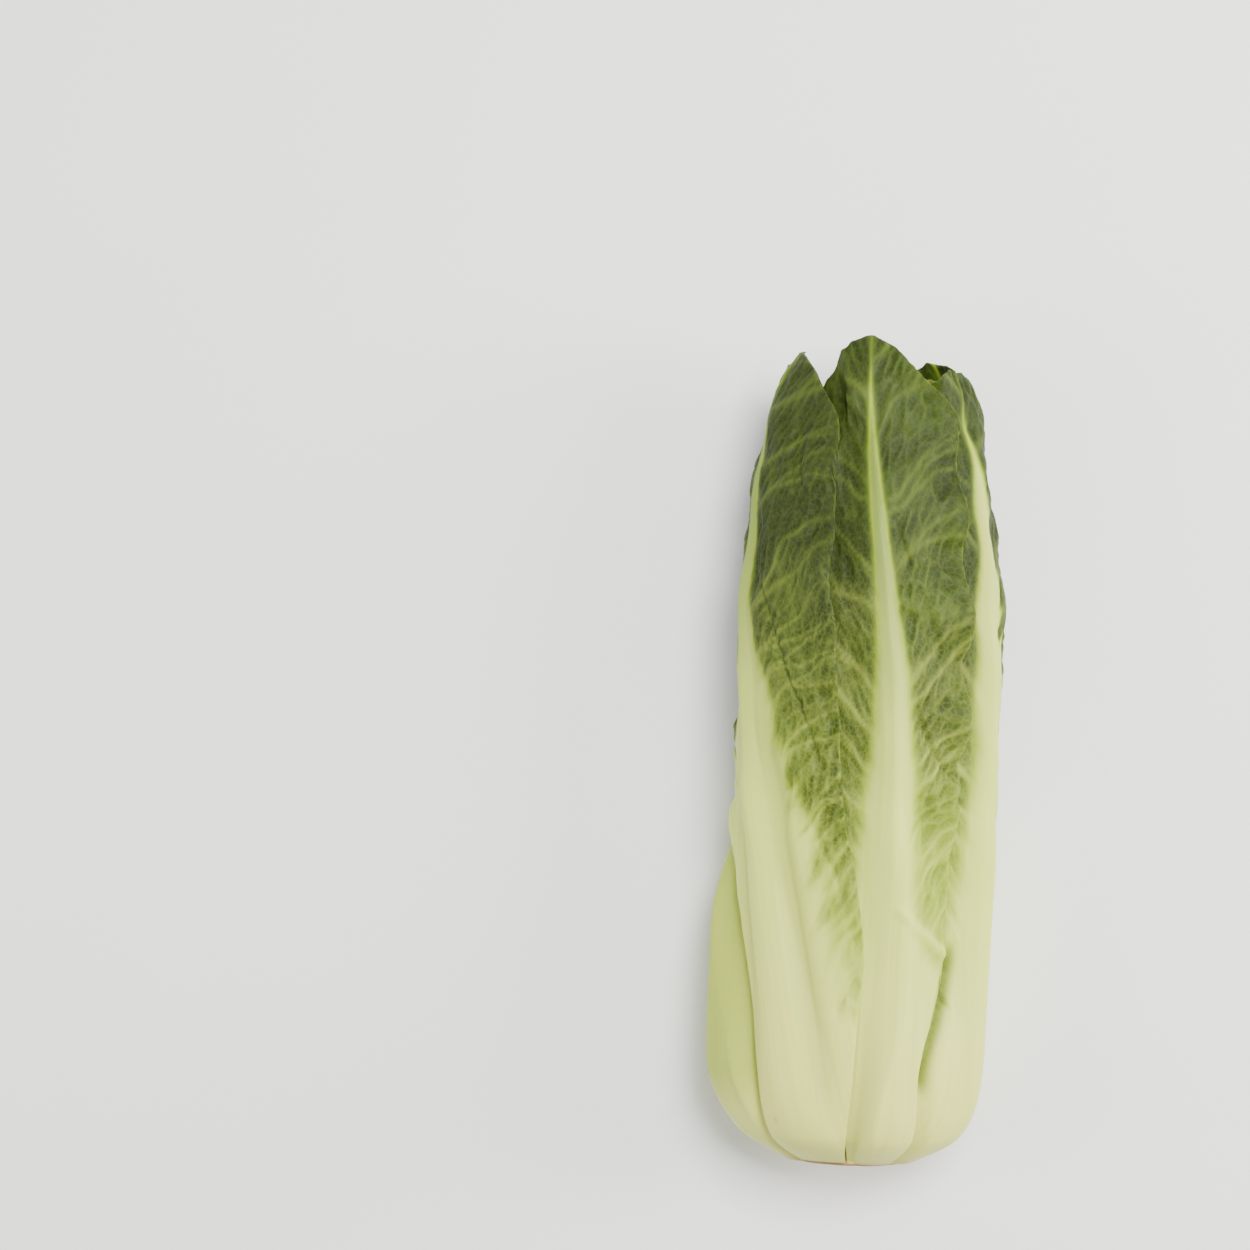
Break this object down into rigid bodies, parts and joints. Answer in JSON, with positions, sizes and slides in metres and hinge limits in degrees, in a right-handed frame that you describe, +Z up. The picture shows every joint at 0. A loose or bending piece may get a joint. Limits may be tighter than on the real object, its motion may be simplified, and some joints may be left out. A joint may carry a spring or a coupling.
{
  "type": "romaine lettuce head",
  "caption": "Trimmed head of long upright lettuce leaves with pale ribs and waved green blades, wrapped round a short stem and lying on its side.",
  "frame": {"origin": "under the middle of the head, on the surface it lies on", "axes": "+Z up; +Y along the head from its cut foot to its leaf tips; +X to the right with the foot nearest, seen from above"},
  "size_m": [0.0866, 0.251, 0.0657],
  "materials": {
    "outer_leaf": "crisp green blade paling to a cream rib, softly shiny",
    "inner_leaf": "tender yellow-green leaf, softly shiny",
    "stem": "moist cream cut, slightly browned"
  },
  "bodies": {
    "root": {"leaf_back_left": "outer_leaf", "leaf_under": "outer_leaf", "leaf_left": "outer_leaf", "leaf_middle": "outer_leaf", "leaf_right": "outer_leaf", "leaf_back_right": "outer_leaf", "leaf_inner_1": "inner_leaf", "leaf_inner_2": "inner_leaf", "leaf_inner_3": "inner_leaf", "leaf_inner_4": "inner_leaf", "leaf_inner_5": "inner_leaf", "leaf_inner_6": "inner_leaf", "leaf_inner_7": "inner_leaf", "leaf_inner_8": "inner_leaf", "stem": "stem"}
  },
  "joints": []
}
